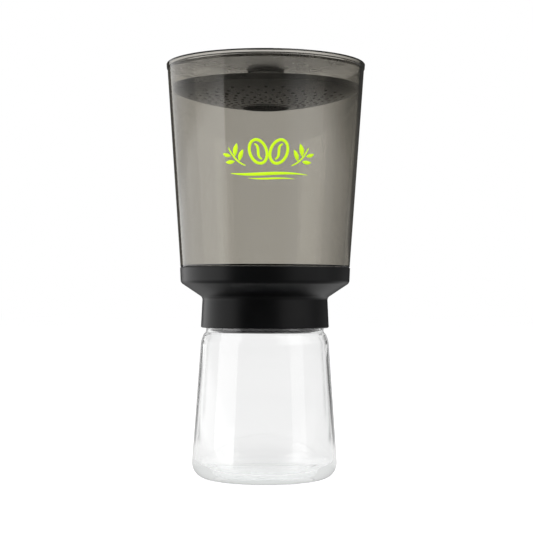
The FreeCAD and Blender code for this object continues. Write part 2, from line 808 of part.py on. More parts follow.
def brew_container():
    """Tapered tube with a rounded lip, a skirt that enters the band and a clamped flange."""
    wall = size["container_wall"]
    foot = size["container_foot"]
    mouth = size["container_mouth"]
    skirt_inner = size["skirt_radius"] - size["skirt_wall"]
    lip_bottom = rim - size["lip_height"]
    lip_wall = mouth - size["lip_height"] * taper
    lip = size["lip_overhang"]
    flare_top = shoulder + size["flare_height"]
    flare_inner = foot + size["flare_height"] * taper - wall
    return turned("brew_container", [
        Corner(size["flange_inner"], rib_top),
        Corner(size["skirt_radius"], rib_top, size["soft_rounding"]),
        Corner(size["skirt_radius"], shoulder),
        Corner(foot, shoulder, size["edge_rounding"]),
        Corner(lip_wall, lip_bottom),
        Corner(lip_wall + lip, lip_bottom + lip),
        Corner(mouth + lip, rim, size["lip_rounding"]),
        Corner(mouth - wall, rim, size["lip_rounding"]),
        Corner(flare_inner, flare_top, size["flare_rounding"]),
        Corner(skirt_inner, shoulder - size["rest_gap"], size["skirt_rounding"]),
        Corner(skirt_inner, clamp_face),
        Corner(size["flange_inner"], clamp_face)])


def filter_gasket():
    return ring("filter_gasket", size["mesh_radius"] + size["rest_gap"], filter_radius,
                ledge + size["rest_gap"], mesh_top, size["edge_rounding"])


def filter_grid():
    """Spoked frame under the mesh, with a hub that comes up through it."""
    radius = size["mesh_radius"]
    rim_inner = radius - size["grid_rim"]
    web = grid_bottom + size["grid_web"]
    hub_top = mesh_top + size["hub_height"]
    hoop_half = size["grid_spoke"] / 2
    body = turned("filter_grid", [
        Corner(0, grid_bottom),
        Corner(radius, grid_bottom, size["edge_rounding"]),
        Corner(radius, mesh_bottom),
        Corner(rim_inner, mesh_bottom),
        Corner(rim_inner, web),
        Corner(size["grid_foot"], web),
        Corner(size["grid_foot"], mesh_bottom),
        Corner(size["grid_hub"], mesh_bottom),
        Corner(size["grid_hub"], hub_top, size["edge_rounding"]),
        Corner(0, hub_top)])
    windows = new_sketch(body, "grid_windows", "XY_Plane", grid_bottom)
    spokes = SIZES["grid_spokes"]
    draw_window(windows, size["grid_foot"], size["grid_hoop"] - hoop_half, size["grid_spoke"], spokes)
    draw_window(windows, size["grid_hoop"] + hoop_half, rim_inner, size["grid_spoke"], spokes)
    opening = pocket(body, windows, "grid_opening", size["grid_rim_height"], upward=True)
    repeat(body, windows, [opening], "grid_openings", size["grid_spokes"])
    return body


def filter_mesh():
    return ring("filter_mesh", size["grid_hub"] + size["slip_gap"], size["mesh_radius"],
                mesh_bottom, mesh_top)


def filter_ring():
    return ring("filter_ring", size["mesh_radius"] - size["grid_rim"], filter_radius,
                mesh_top, mesh_top + size["clamp_ring"], size["edge_rounding"])


def filter_knob():
    """Small button that clamps the middle of the mesh and lifts the filter out."""
    bore_top = mesh_top + size["hub_height"]
    top = mesh_top + size["knob_height"]
    disc_bottom = top - size["knob_disc_height"]
    return turned("filter_knob", [
        Corner(size["grid_hub"], mesh_top),
        Corner(size["knob_neck"], mesh_top),
        Corner(size["knob_neck"], disc_bottom, size["soft_rounding"]),
        Corner(size["knob_disc"], disc_bottom, size["soft_rounding"]),
        Corner(size["knob_disc"], top, size["knob_rounding"]),
        Corner(0, top),
        Corner(0, bore_top),
        Corner(size["grid_hub"], bore_top)])


def bowl_rise(across):
    """How far the domed bowl has risen at this radius near its middle."""
    return across * across * size["dish_depth"] / (dish_foot * dish_foot)


def rainmaker_dish():
    """Perforated dish, wedged by its rim in the container's taper."""
    top = size["container_mouth"] - (rim - dish_top) * taper - mouth_reach
    wall = size["dish_wall"]
    hole = size["dish_hole"]
    underside = bowl + bowl_rise(dish_collar)
    collar_top = underside + wall + size["dish_collar_height"]
    body = turned("rainmaker_dish", [
        Corner(hole, bowl + bowl_rise(hole) - size["dish_bead"]),
        Corner(dish_collar, underside - size["dish_bead"]),
        Corner(dish_collar, underside, domed=True),
        Corner(dish_foot, dish_shoulder),
        Corner(top, dish_top, size["dish_rounding"]),
        Corner(top - wall, dish_top, size["dish_rounding"]),
        Corner(dish_foot - wall, dish_shoulder + size["dish_corner_rise"], domed=True),
        Corner(dish_collar, underside + wall),
        Corner(dish_collar, collar_top, size["edge_rounding"]),
        Corner(hole, collar_top, size["edge_rounding"])])
    holes = new_sketch(body, "rain_places", "XY_Plane", dish_top)
    half_step = math.pi / SIZES["rain_columns"]
    circles = []
    for index in range(SIZES["rain_rings"]):
        widened = size["rain_widening"] * (index * (index - 1) / 2)
        radius = size["rain_first"] + size["rain_step"] * index + widened
        angle = half_step * (index % 2)
        circles.append((radius * math.cos(angle), radius * math.sin(angle), size["rain_hole"]))
    draw_circles(holes, circles)
    rain = pocket(body, holes, "rain_column", size["dish_rim"] + size["dish_depth"] + wall)
    repeat(body, holes, [rain], "rain_holes", size["rain_columns"])
    return body


def rainmaker_knob():
    """Hollow knob over the dish's collar, ending just under the lid."""
    bore = dish_collar + size["slip_gap"]
    foot = bore + size["handle_foot"]
    bottom = bowl + size["dish_wall"] + bowl_rise(foot)
    waist = size["handle_waist"]
    waist_height = rim - size["handle_waist_drop"]
    crown = size["handle_crown"]
    wall = size["handle_wall"]
    top = rim - size["handle_drop"]
    return turned("rainmaker_knob", [
        Corner(bore, bottom),
        Corner(foot, bottom, size["soft_rounding"]),
        Corner(foot, bottom + size["handle_foot_height"], size["handle_foot_rounding"]),
        Corner(waist, waist_height, size["handle_waist_rounding"]),
        Corner(crown, top, size["handle_rounding"]),
        Corner(0, top),
        Corner(0, top - wall),
        Corner(crown - wall, top - wall, size["handle_rounding"] - wall),
        Corner(waist - wall, waist_height, size["handle_inner_rounding"]),
        Corner(bore, bottom + size["dish_collar_height"] + size["rest_gap"])])


def mouth_lid():
    """Flat disc wedged in the taper, with a hole for its knob's stem."""
    edge = size["container_mouth"] - mouth_reach
    return turned("mouth_lid", [
        Corner(size["lid_stem"] + size["slip_gap"], lid_bottom),
        Corner(edge - (rim - lid_bottom) * taper, lid_bottom, size["edge_rounding"]),
        Corner(edge - (rim - lid_top) * taper, lid_top, size["edge_rounding"]),
        Corner(size["lid_stem"] + size["slip_gap"], lid_top)])


def lid_knob():
    """Domed knob on the lid, with a stem and a catch under it."""
    stem = size["lid_stem"]
    catch_bottom = lid_bottom - size["lid_catch_height"]
    top = lid_top + size["lid_knob_height"]
    return turned("lid_knob", [
        Corner(0, catch_bottom),
        Corner(size["lid_catch"], catch_bottom, size["edge_rounding"]),
        Corner(size["lid_catch"], lid_bottom),
        Corner(stem, lid_bottom),
        Corner(stem, lid_top),
        Corner(size["lid_knob"], lid_top),
        Corner(size["lid_knob"], top, size["lid_knob_rounding"]),
        Corner(0, top)])


MAKERS = [
    carafe, rim_pad, plunger_cup, valve_stem, poppet_seal, poppet_cap, valve_spring,
    valve_guide, base_housing, neck_ring, seam_gasket, floor_gasket, floor_pan, base_screws,
    brew_container, filter_gasket, filter_grid, filter_mesh, filter_ring, filter_knob,
    rainmaker_dish, rainmaker_knob, mouth_lid, lid_knob]


def main():
    parts = [make() for make in MAKERS]
    doc.recompute()
    for item in doc.Objects:
        if "Invalid" in item.State or "Error" in item.State:
            raise RuntimeError(f"{item.Label}: {item.State}")
    for part in parts:
        if part.Shape.isNull() or not part.Shape.isValid():
            raise RuntimeError(f"{part.Label} has no valid shape")
    os.makedirs("parts", exist_ok=True)
    for part in parts:
        part.Shape.exportStep(f"parts/{part.Label}.step")
        print(f"{part.Label}: {len(part.Shape.Solids)} solid(s), {part.Shape.Volume:.0f} mm3")


main()
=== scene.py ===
import json
from math import ceil, cos, pi, radians, sin, tan

import bpy
from mathutils import Matrix, Vector


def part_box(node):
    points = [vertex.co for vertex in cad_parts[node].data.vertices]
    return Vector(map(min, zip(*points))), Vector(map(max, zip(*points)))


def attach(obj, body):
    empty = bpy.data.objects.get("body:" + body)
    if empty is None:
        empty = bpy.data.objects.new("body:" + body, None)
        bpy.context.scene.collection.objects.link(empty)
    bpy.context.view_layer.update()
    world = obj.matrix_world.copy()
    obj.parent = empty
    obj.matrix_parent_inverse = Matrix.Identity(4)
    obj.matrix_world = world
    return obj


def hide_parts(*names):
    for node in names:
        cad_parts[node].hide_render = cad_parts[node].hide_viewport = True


# Cold brew coffee maker: a smoky container on a black base, over a clear glass carafe.
# The dictionaries hold millimetres and degrees, and mm turns a length into Blender's metres.

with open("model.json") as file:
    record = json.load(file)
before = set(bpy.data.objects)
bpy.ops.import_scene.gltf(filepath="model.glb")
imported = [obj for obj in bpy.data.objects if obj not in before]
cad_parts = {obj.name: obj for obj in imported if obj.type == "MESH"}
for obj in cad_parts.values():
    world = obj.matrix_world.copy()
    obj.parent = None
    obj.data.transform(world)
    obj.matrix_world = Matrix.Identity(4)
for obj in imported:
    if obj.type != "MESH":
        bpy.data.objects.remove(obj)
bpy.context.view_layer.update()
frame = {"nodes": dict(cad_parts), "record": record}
cadNodes = frame["nodes"]
mm = 0.001
bpy.ops.object.select_all(action="DESELECT")
print("frame loaded with", len(cadNodes), "nodes")


# Camera, at the height where the rim of the mouth shows as a thin ellipse.
cameraPlace = {
    "distance": 947.0, "height": 125.3, "aside": 1.02, "pitchUp": 1.05, "roll": -0.2, "lens": 94.1,
    "farClip": 20000.0}


def addCamera():
    c = cameraPlace
    place = (c["aside"] * mm, -c["distance"] * mm, c["height"] * mm)
    turn = (radians(90 + c["pitchUp"]), radians(c["roll"]), 0)
    bpy.ops.object.camera_add(location=place, rotation=turn)
    camera = bpy.context.object
    camera.name = "camera"
    camera.data.lens = c["lens"]
    camera.data.clip_end = c["farClip"] * mm
    bpy.context.scene.camera = camera


addCamera()
print("camera placed")


# Small helpers for the node trees.
noiseLow, noiseHigh = 0.3, 0.7  # where most of a noise's values lie


def grey(level):
    return (level, level, level, 1)


def addNode(tree, kind, settings=None, inputs=None):
    node = tree.nodes.new(kind)
    for key, value in (settings or {}).items():
        setattr(node, key, value)
    for key, value in (inputs or {}).items():
        if isinstance(value, bpy.types.NodeSocket):
            tree.links.new(value, node.inputs[key])
        else:
            node.inputs[key].default_value = value
    return node


def mathNode(tree, operation, *values):
    return addNode(tree, "ShaderNodeMath", {"operation": operation}, dict(enumerate(values))).outputs["Value"]


def mixColours(tree, share, first, second):
    return addNode(tree, "ShaderNodeMix", {"data_type": "RGBA"}, {0: share, 6: first, 7: second}).outputs[2]


def mixShaders(tree, share, first, second):
    return addNode(tree, "ShaderNodeMixShader", {}, {0: share, 1: first, 2: second}).outputs["Shader"]


def showSurface(tree, shader):
    tree.links.new(shader, tree.nodes["Material Output"].inputs["Surface"])


def startMaterial(name, sockets):
    material = bpy.data.materials.new(name)
    material.use_nodes = True
    shader = material.node_tree.nodes["Principled BSDF"]
    for key, value in sockets.items():
        shader.inputs[key].default_value = value
    return material, material.node_tree, shader


def objectNoise(tree, scale, detail=2.0, roughness=0.5, stretch=(1, 1, 1)):
    coords = addNode(tree, "ShaderNodeTexCoord")
    mapping = addNode(tree, "ShaderNodeMapping", {}, {"Vector": coords.outputs["Object"], "Scale": stretch})
    noise = addNode(tree, "ShaderNodeTexNoise", {}, {
        "Vector": mapping.outputs["Vector"], "Scale": scale, "Detail": detail, "Roughness": roughness})
    return noise.outputs["Fac"]


def spread(tree, value, low, high):
    ranged = addNode(tree, "ShaderNodeMapRange", {}, {
        "Value": value, "From Min": noiseLow, "From Max": noiseHigh, "To Min": low, "To Max": high})
    return ranged.outputs["Result"]


def tintBetween(tree, value, dark, light):
    ramp = addNode(tree, "ShaderNodeValToRGB", {}, {"Fac": value})
    first, last = ramp.color_ramp.elements
    first.position, last.position = noiseLow, noiseHigh
    first.color = (*dark, 1)
    last.color = (*light, 1)
    return ramp.outputs["Color"]


def bumpFrom(tree, shader, height, strength, depth):
    bump = addNode(tree, "ShaderNodeBump", {}, {
        "Height": height, "Strength": strength, "Distance": depth * mm})
    tree.links.new(bump.outputs["Normal"], shader.inputs["Normal"])


# Colour and roughness follow one pattern, and the bump follows the same one or a finer grain.
def dressSurface(tree, shader, finish, pattern, height):
    tint = tintBetween(tree, pattern, finish["dark"], finish["light"])
    tree.links.new(tint, shader.inputs["Base Color"])
    tree.links.new(spread(tree, pattern, *finish["roughness"]), shader.inputs["Roughness"])
    bumpFrom(tree, shader, height, *finish["bump"])


# Lamps' shadow rays pass straight through the clear and smoky walls, tinted once.
def letLampsThrough(tree, shader, tint):
    path = addNode(tree, "ShaderNodeLightPath")
    passing = addNode(tree, "ShaderNodeBsdfTransparent", {}, {"Color": (*tint, 1)})
    showSurface(tree, mixShaders(
        tree, path.outputs["Is Shadow Ray"], shader.outputs["BSDF"], passing.outputs["BSDF"]))


# Where the glass would trap light for too many turns, it shows a painted glow at the studio's level, not
# black.
def paintGlowWhereTrapped(material, turns, level):
    tree = material.node_tree
    shown = tree.nodes["Material Output"].inputs["Surface"].links[0].from_socket
    path = addNode(tree, "ShaderNodeLightPath")
    late = mathNode(tree, "GREATER_THAN", path.outputs["Glossy Depth"], turns)
    glow = addNode(tree, "ShaderNodeEmission", {}, {"Strength": level})
    showSurface(tree, mixShaders(tree, late, shown, glow.outputs["Emission"]))
    material.cycles.emission_sampling = "NONE"


def absorb(tree, colour, density):
    volume = addNode(tree, "ShaderNodeVolumeAbsorption", {}, {"Color": (*colour, 1), "Density": density})
    tree.links.new(volume.outputs["Volume"], tree.nodes["Material Output"].inputs["Volume"])


# In the finishes a noise is (scale, detail, roughness, stretch) and a bump is (strength, depth).

# Clear glass: faint waves from blowing, and a trace of green in its thickness.
glassFinish = {
    "ior": 1.5, "roughness": 0.0, "waves": (26.0, 1.5), "bump": (0.12, 0.9), "tint": (0.94, 0.98, 0.96),
    "density": 14.0, "shadow": (0.95, 0.96, 0.96), "turns": 2.5, "trappedLevel": 0.8}


def clearGlass():
    g = glassFinish
    material, tree, shader = startMaterial("clearGlass", {
        "Base Color": grey(1), "Roughness": g["roughness"], "IOR": g["ior"], "Transmission Weight": 1.0})
    bumpFrom(tree, shader, objectNoise(tree, *g["waves"]), *g["bump"])
    absorb(tree, g["tint"], g["density"])
    letLampsThrough(tree, shader, g["shadow"])
    paintGlowWhereTrapped(material, g["turns"], g["trappedLevel"])
    return material


# Smoky polished plastic, seen through two walls as a warm grey.
smokeFinish = {
    "ior": 1.49, "tint": (0.333, 0.295, 0.203), "shadow": (0.95, 0.95, 0.95),
    "handling": (60.0, 4.0, 0.6), "smoothest": 0.6, "roughest": 1.3,
    "flow": (14.0, 1.0, 0.4, (1, 1, 0.4)), "flowDepth": 0.8}
containerFinish = {"roughness": 0.03, "waviness": 0.08, "density": 325.0}
lidFinish = {"roughness": 0.24, "waviness": 0.02, "density": 115.0}


def smokedPlastic(name, own):
    s = smokeFinish
    material, tree, shader = startMaterial(name, {
        "Base Color": grey(1), "IOR": s["ior"], "Transmission Weight": 1.0})
    handled = spread(tree, objectNoise(tree, *s["handling"]),
                     own["roughness"] * s["smoothest"], own["roughness"] * s["roughest"])
    tree.links.new(handled, shader.inputs["Roughness"])
    bumpFrom(tree, shader, objectNoise(tree, *s["flow"]), own["waviness"], s["flowDepth"])
    absorb(tree, s["tint"], own["density"])
    letLampsThrough(tree, shader, s["shadow"])
    return material


# Satin black moulded plastic with a fine spark-eroded grain.
blackFinish = {
    "ior": 1.5, "specular": 0.28, "dark": (0.002, 0.002, 0.0023), "light": (0.0035, 0.0035, 0.0038),
    "patches": (42.0, 3.0, 0.55), "roughness": (0.29, 0.34), "grain": (2600.0, 3.0, 0.6),
    "bump": (0.12, 0.03)}


def blackPlastic():
    b = blackFinish
    material, tree, shader = startMaterial("blackPlastic", {
        "IOR": b["ior"], "Specular IOR Level": b["specular"]})
    dressSurface(tree, shader, b, objectNoise(tree, *b["patches"]), objectNoise(tree, *b["grain"]))
    return material


# Dark silicone: soft, a little dusty, with a powdery edge sheen.
siliconeFinish = {
    "ior": 1.41, "sheen": 0.15, "sheenRoughness": 0.5, "dark": (0.02, 0.02, 0.021),
    "light": (0.034, 0.034, 0.035), "dust": (120.0, 5.0, 0.65), "roughness": (0.5, 0.62),
    "grain": (1500.0, 2.0), "bump": (0.15, 0.04)}


def siliconeRubber():
    s = siliconeFinish
    material, tree, shader = startMaterial("siliconeRubber", {
        "IOR": s["ior"], "Sheen Weight": s["sheen"], "Sheen Roughness": s["sheenRoughness"]})
    dressSurface(tree, shader, s, objectNoise(tree, *s["dust"]), objectNoise(tree, *s["grain"]))
    return material


# Bright steel for the screws and the spring, drawn along one way.
steelFinish = {
    "dark": (0.5, 0.5, 0.49), "light": (0.68, 0.67, 0.65), "streaks": (900.0, 4.0, 0.6, (1, 1, 0.12)),
    "roughness": (0.2, 0.34), "bump": (0.1, 0.02)}


def brightSteel():
    material, tree, shader = startMaterial("brightSteel", {"Metallic": 1.0})
    streaks = objectNoise(tree, *steelFinish["streaks"])
    dressSurface(tree, shader, steelFinish, streaks, streaks)
    return material


# Woven filter cloth of fine steel wire: two sets of wires, with painted shade in the gaps between them.
weaveFinish = {
    "pitch": 0.45, "dark": (0.04, 0.04, 0.04), "light": (0.62, 0.61, 0.58), "roughness": (0.5, 0.28),
    "bump": (0.6, 0.08)}
bandsPerUnit = 20  # a wave texture of scale 1 repeats this often in 2 pi metres


def wovenSteel():
    material, tree, shader = startMaterial("wovenSteel", {"Metallic": 1.0})
    coords = addNode(tree, "ShaderNodeTexCoord")
    waveScale = 2 * pi / (bandsPerUnit * weaveFinish["pitch"] * mm)
    wires = []
    for direction in ("X", "Y"):
        wave = addNode(tree, "ShaderNodeTexWave", {"wave_type": "BANDS", "bands_direction": direction},
                       {"Vector": coords.outputs["Object"], "Scale": waveScale})
        wires.append(wave.outputs["Fac"])
    # Where neither set of wires rises, the colour goes near black: painted shade in the gaps.
    cloth = mathNode(tree, "MAXIMUM", *wires)
    dressSurface(tree, shader, weaveFinish, cloth, cloth)
    return material


# Screen-printed lime ink, slightly uneven where the screen lifted.
inkFinish = {
    "ior": 1.45, "dark": (0.60, 0.96, 0.004), "light": (0.68, 1.0, 0.004), "cover": (260.0, 4.0, 0.6),
    "roughness": (0.42, 0.6), "grain": (1800.0, 3.0), "bump": (0.12, 0.02)}


def limeInk():
    material, tree, shader = startMaterial("limeInk", {"IOR": inkFinish["ior"]})
    cover = objectNoise(tree, *inkFinish["cover"])
    dressSurface(tree, shader, inkFinish, cover, objectNoise(tree, *inkFinish["grain"]))
    return material


finishes = {
    "clear_glass": clearGlass(),
    "smoked_plastic": smokedPlastic("smokedPlastic", containerFinish),
    "black_plastic": blackPlastic(),
    "silicone": siliconeRubber(),
    "steel": brightSteel()}
satinSmoke = smokedPlastic("satinSmoke", lidFinish)
woven = wovenSteel()
ink = limeInk()


def giveMaterial(piece, material):
    piece.data.materials.clear()
    piece.data.materials.append(material)


for subpart in frame["record"]["subparts"]:
    giveMaterial(cadNodes[subpart["node"]], finishes[subpart["material_slot"]])
giveMaterial(cadNodes["filter_mesh"], woven)
print("materials made:", len(bpy.data.materials))


# A turned piece's outline is a list of (radius, height) or (radius, height, rounding).
turning = {
    "stepAngle": 9, "leastSteps": 3, "around": 256, "aroundWide": 320, "sharpAngle": 32, "weld": 0.003}


def roundedOutline(corners):
    points = []
    for i, corner in enumerate(corners):
        here = Vector(corner[:2])
        if len(corner) < 3:
            points.append(here)
            continue
        rounding = corner[2]
        back = (Vector(corners[i - 1][:2]) - here).normalized()
        ahead = (Vector(corners[(i + 1) % len(corners)][:2]) - here).normalized()
        half = back.angle(ahead) / 2
        centre = here + (back + ahead).normalized() * (rounding / sin(half))
        first = here + back * (rounding / tan(half)) - centre
        sweep = pi - 2 * half
        side = 1 if back.cross(ahead) < 0 else -1
        steps = max(turning["leastSteps"], ceil(sweep / radians(turning["stepAngle"])))
        for step in range(steps + 1):
            points.append(centre + Matrix.Rotation(side * sweep * step / steps, 2) @ first)
    return points


def turnPiece(name, corners, steps=turning["around"]):
    outline = roundedOutline(corners)
    if outline[0].x > 0:
        outline.append(outline[0])  # a ring's section closes on itself
    bpy.ops.object.select_all(action="DESELECT")
    bpy.ops.mesh.primitive_plane_add(size=mm)
    piece = bpy.context.object
    piece.name = name
    bpy.ops.object.mode_set(mode="EDIT")
    bpy.ops.mesh.select_all(action="SELECT")
    bpy.ops.mesh.merge(type="CENTER")
    bpy.ops.transform.translate(value=(outline[0].x * mm, 0, outline[0].y * mm))
    for back, ahead in zip(outline, outline[1:]):
        move = (ahead - back) * mm
        bpy.ops.mesh.extrude_vertices_move(TRANSFORM_OT_translate={"value": (move.x, 0, move.y)})
    bpy.ops.mesh.select_all(action="SELECT")
    bpy.ops.mesh.spin(steps=steps, angle=2 * pi, center=(0, 0, 0), axis=(0, 0, 1))
    weldAndTurnOut(turning["weld"])
    bpy.ops.object.shade_smooth_by_angle(angle=radians(turning["sharpAngle"]))
    bpy.ops.object.modifier_add(type="WEIGHTED_NORMAL")
    piece.modifiers[-1].keep_sharp = True
    bpy.ops.object.modifier_apply(modifier=piece.modifiers[-1].name)
    return piece


def weldAndTurnOut(nearness):
    bpy.ops.mesh.select_all(action="SELECT")
    bpy.ops.mesh.remove_doubles(threshold=nearness * mm)
    bpy.ops.mesh.normals_make_consistent(inside=False)
    bpy.ops.object.mode_set(mode="OBJECT")


# Sets a finished piece in the frame, in place of the CAD node it stands for.
def fitPiece(piece, body, slot, replaced=(), material=None):
    giveMaterial(piece, material or finishes[slot])
    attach(piece, body)
    if replaced:
        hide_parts(*replaced)
    print("made", piece.name)


def reach(node):
    low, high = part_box(node)
    return high.x / mm, low.z / mm, high.z / mm  # radius, bottom, top


# Glass carafe: flared body, soft shoulder, straight neck, thick floor over a shallow punt.
carafeGlass = {
    "wall": 2.2, "footRing": 36.0, "footReach": 0.17, "footRounding": 10.0, "puntHeight": 2.2,
    "puntEdge": 3.0, "puntFall": 0.7, "puntRounding": 4.0, "floor": 3.0, "floorRise": 1.76,
    "bodyTop": 43.15, "bodyHeight": 92.0, "bodyRounding": 12.0, "bodyInnerRounding": 9.8,
    "shoulderEdge": 41.4, "shoulderTop": 96.9, "shoulderRounding": 6.0, "shoulderInnerRounding": 3.5,
    "neck": 39.8, "neckStart": 98.4, "neckRounding": 1.2, "neckInnerRounding": 3.0, "innerRise": 0.4,
    "lipFlat": 0.05}


def carafePiece():
    g = carafeGlass
    footRadius, _, rim = reach("carafe")
    footRadius += g["footReach"]  # the foot's rounding ends just inside its corner
    wall = g["wall"]
    lip = wall / 2 - g["lipFlat"]
    floorEdge = g["floor"] + g["floorRise"]
    innerFoot = footRadius - wall - floorEdge * (footRadius - g["bodyTop"]) / g["bodyHeight"]
    piece = turnPiece("carafeGlass", [
        (0, g["puntHeight"]),
        (g["footRing"] - g["puntEdge"], g["puntHeight"] * g["puntFall"], g["puntRounding"]),
        (g["footRing"], 0),
        (footRadius, 0, g["footRounding"]),
        (g["bodyTop"], g["bodyHeight"], g["bodyRounding"]),
        (g["shoulderEdge"], g["shoulderTop"], g["shoulderRounding"]),
        (g["neck"], g["neckStart"], g["neckRounding"]),
        (g["neck"], rim, lip),
        (g["neck"] - wall, rim, lip),
        (g["neck"] - wall, g["neckStart"] + g["innerRise"], g["neckInnerRounding"]),
        (g["shoulderEdge"] - wall, g["shoulderTop"] + g["innerRise"], g["shoulderInnerRounding"]),
        (g["bodyTop"] - wall, g["bodyHeight"], g["bodyInnerRounding"]),
        (innerFoot, floorEdge, g["footRounding"] - wall),
        (0, g["puntHeight"] + g["floor"])])
    fitPiece(piece, "carafe_glass", "clear_glass", ["carafe"])


# Container: tapered smoky tube with a rounded lip and a skirt that enters the base.
container = {
    "wall": 2.4, "foot": 57.4, "mouth": 67.05, "shoulder": 142.1, "shoulderRounding": 0.4,
    "lipHeight": 3.6, "lip": 0.45, "lipRounding": 0.6, "lipInnerRounding": 1.15, "flare": 0.9,
    "flareRounding": 0.8, "skirt": 55.0, "skirtRounding": 0.6, "skirtInside": 52.4, "skirtLead": 0.3,
    "skirtInnerRounding": 1.0, "flangeInside": 46.0, "clampFace": 136.8}


def containerSlope(rim):
    return (container["mouth"] - container["foot"]) / (rim - container["shoulder"])


def containerPiece():
    c = container
    _, bottom, rim = reach("brew_container")
    slope = containerSlope(rim)
    lipWall = c["mouth"] - c["lipHeight"] * slope
    lipBottom = rim - c["lipHeight"]
    piece = turnPiece("smokyContainer", [
        (c["flangeInside"], bottom),
        (c["skirt"], bottom, c["skirtRounding"]),
        (c["skirt"], c["shoulder"]),
        (c["foot"], c["shoulder"], c["shoulderRounding"]),
        (lipWall, lipBottom),
        (lipWall + c["lip"], lipBottom + c["lip"]),
        (c["mouth"] + c["lip"], rim, c["lipRounding"]),
        (c["mouth"] - c["wall"], rim, c["lipInnerRounding"]),
        (c["foot"] + c["flare"] * slope - c["wall"], c["shoulder"] + c["flare"], c["flareRounding"]),
        (c["skirtInside"], c["shoulder"] - c["skirtLead"], c["skirtInnerRounding"]),
        (c["skirtInside"], c["clampFace"]),
        (c["flangeInside"], c["clampFace"])], turning["aroundWide"])
    fitPiece(piece, "brewer", "smoked_plastic", ["brew_container"])


# Black base: band, cone and collar, with the recess that the floor of the container sits in.
housing = {
    "edge": 0.4, "bore": 16.0, "ceiling": 123.6, "underside": 119.6, "socket": 41.0, "socketLead": 0.3,
    "socketRounding": 0.6, "groove": 42.0, "grooveLow": 104.0, "grooveHigh": 108.0, "collar": 43.4,
    "hemRounding": 0.9, "collarTop": 42.4, "collarRise": 121.6, "collarRounding": 3.0, "band": 57.25,
    "bandFoot": 131.5, "bandRounding": 3.5, "bandTop": 57.7, "lipWall": 0.7, "seat": 141.0,
    "recess": 55.3, "recessFloor": 133.3, "ledge": 52.0, "ledgeTop": 134.4, "ledgeWall": 2.0,
    "ledgeFoot": 129.77, "coneInside": 131.1, "coneLead": 0.2}


def housingPiece():
    h = housing
    _, bottom, top = reach("base_housing")
    piece = turnPiece("baseHousing", [
        (h["bore"], h["underside"], h["edge"]),
        (h["socket"] - h["socketLead"], h["underside"], h["edge"]),
        (h["socket"], h["grooveHigh"]),
        (h["groove"], h["grooveHigh"]),
        (h["groove"], h["grooveLow"]),
        (h["socket"], h["grooveLow"]),
        (h["socket"], bottom, h["socketRounding"]),
        (h["collar"], bottom, h["hemRounding"]),
        (h["collarTop"], h["collarRise"], h["collarRounding"]),
        (h["band"], h["bandFoot"], h["bandRounding"]),
        (h["bandTop"], top, h["edge"]),
        (h["bandTop"] - h["lipWall"], top),
        (h["bandTop"] - h["lipWall"], h["seat"]),
        (h["recess"], h["seat"]),
        (h["recess"], h["recessFloor"]),
        (h["ledge"], h["coneInside"]),
        (h["ledge"], h["ledgeTop"]),
        (h["ledge"] - h["ledgeWall"], h["ledgeTop"]),
        (h["ledge"] - h["ledgeWall"], h["ledgeFoot"]),
        (h["socket"] + h["coneLead"], h["ceiling"]),
        (h["bore"], h["ceiling"], h["edge"])])
    fitPiece(piece, "brewer", "black_plastic", ["base_housing"])


# Lid: a flat smoky disc wedged in the mouth, with a domed black knob.
mouthLid = {"drop": 1.8, "thickness": 2.8, "stem": 4.05, "gap": 0.3, "rounding": 0.4}


def lidPiece():
    d = mouthLid
    rim = reach("brew_container")[2]
    slope = containerSlope(rim)
    top = rim - d["drop"]
    low = top - d["thickness"]
    edge = container["mouth"] - container["wall"] - d["gap"]
    piece = turnPiece("mouthLid", [
        (d["stem"], low),
        (edge - slope * (rim - low), low, d["rounding"]),
        (edge - slope * (rim - top), top, d["rounding"]),
        (d["stem"], top)], turning["aroundWide"])
    fitPiece(piece, "lid", "smoked_plastic", ["mouth_lid"], satinSmoke)


lidKnob = {
    "stem": 4.0, "catch": 12.4, "catchHeight": 1.4, "radius": 12.9, "height": 6.0, "dome": 4.5, "edge": 0.4}


def lidKnobPiece():
    k = lidKnob
    seat = reach("brew_container")[2] - mouthLid["drop"]
    low = seat - mouthLid["thickness"]
    piece = turnPiece("lidKnob", [
        (0, low - k["catchHeight"]),
        (k["catch"], low - k["catchHeight"], k["edge"]),
        (k["catch"], low),
        (k["stem"], low),
        (k["stem"], seat),
        (k["radius"], seat, k["edge"]),
        (k["radius"], seat + k["height"], k["dome"]),
        (0, seat + k["height"])])
    fitPiece(piece, "lid", "black_plastic", ["lid_knob"])


# Print: two coffee beans between leaf sprays, over a brush stroke, one screen-printed colour.
# A stroke runs through points (across, up), each with its share of the stroke's half width.
printPlace = {
    "aside": 2.0, "height": 210.5, "front": 80.0, "lift": 0.04, "thickness": 0.06, "smoothness": 10,
    "weld": 0.002}
beanShape = {
    "halfWidth": 5.3, "halfHeight": 7.8, "apart": 13.2, "rise": 4.2, "tilt": 21.0, "line": 0.95,
    "seam": [(0.6, 5.4), (-2.2, 3.0), (0.0, 0.0), (2.2, -3.0), (-0.6, -5.4)],
    "seamShares": (0.5, 1, 1, 1, 0.5)}
sprayShape = {
    "stem": [(14.6, -4.6), (18.2, -3.4), (21.4, -0.6), (23.8, 2.8), (25.6, 7.0)],
    "stemShares": (0.6, 1, 1, 1, 0.5), "stemLine": 0.55,
    "leaves": [((18.6, -1.6), (16.2, 5.6), 1.7), ((21.4, 1.4), (20.2, 9.6), 1.8),
               ((21.6, -1.8), (27.4, -2.2), 1.5), ((24.2, 1.6), (29.2, 3.4), 1.4)],
    "leafSteps": (0, 0.25, 0.5, 0.75, 1), "leafShares": (0.1, 0.9, 1.1, 0.8, 0.05), "bow": 0.08}
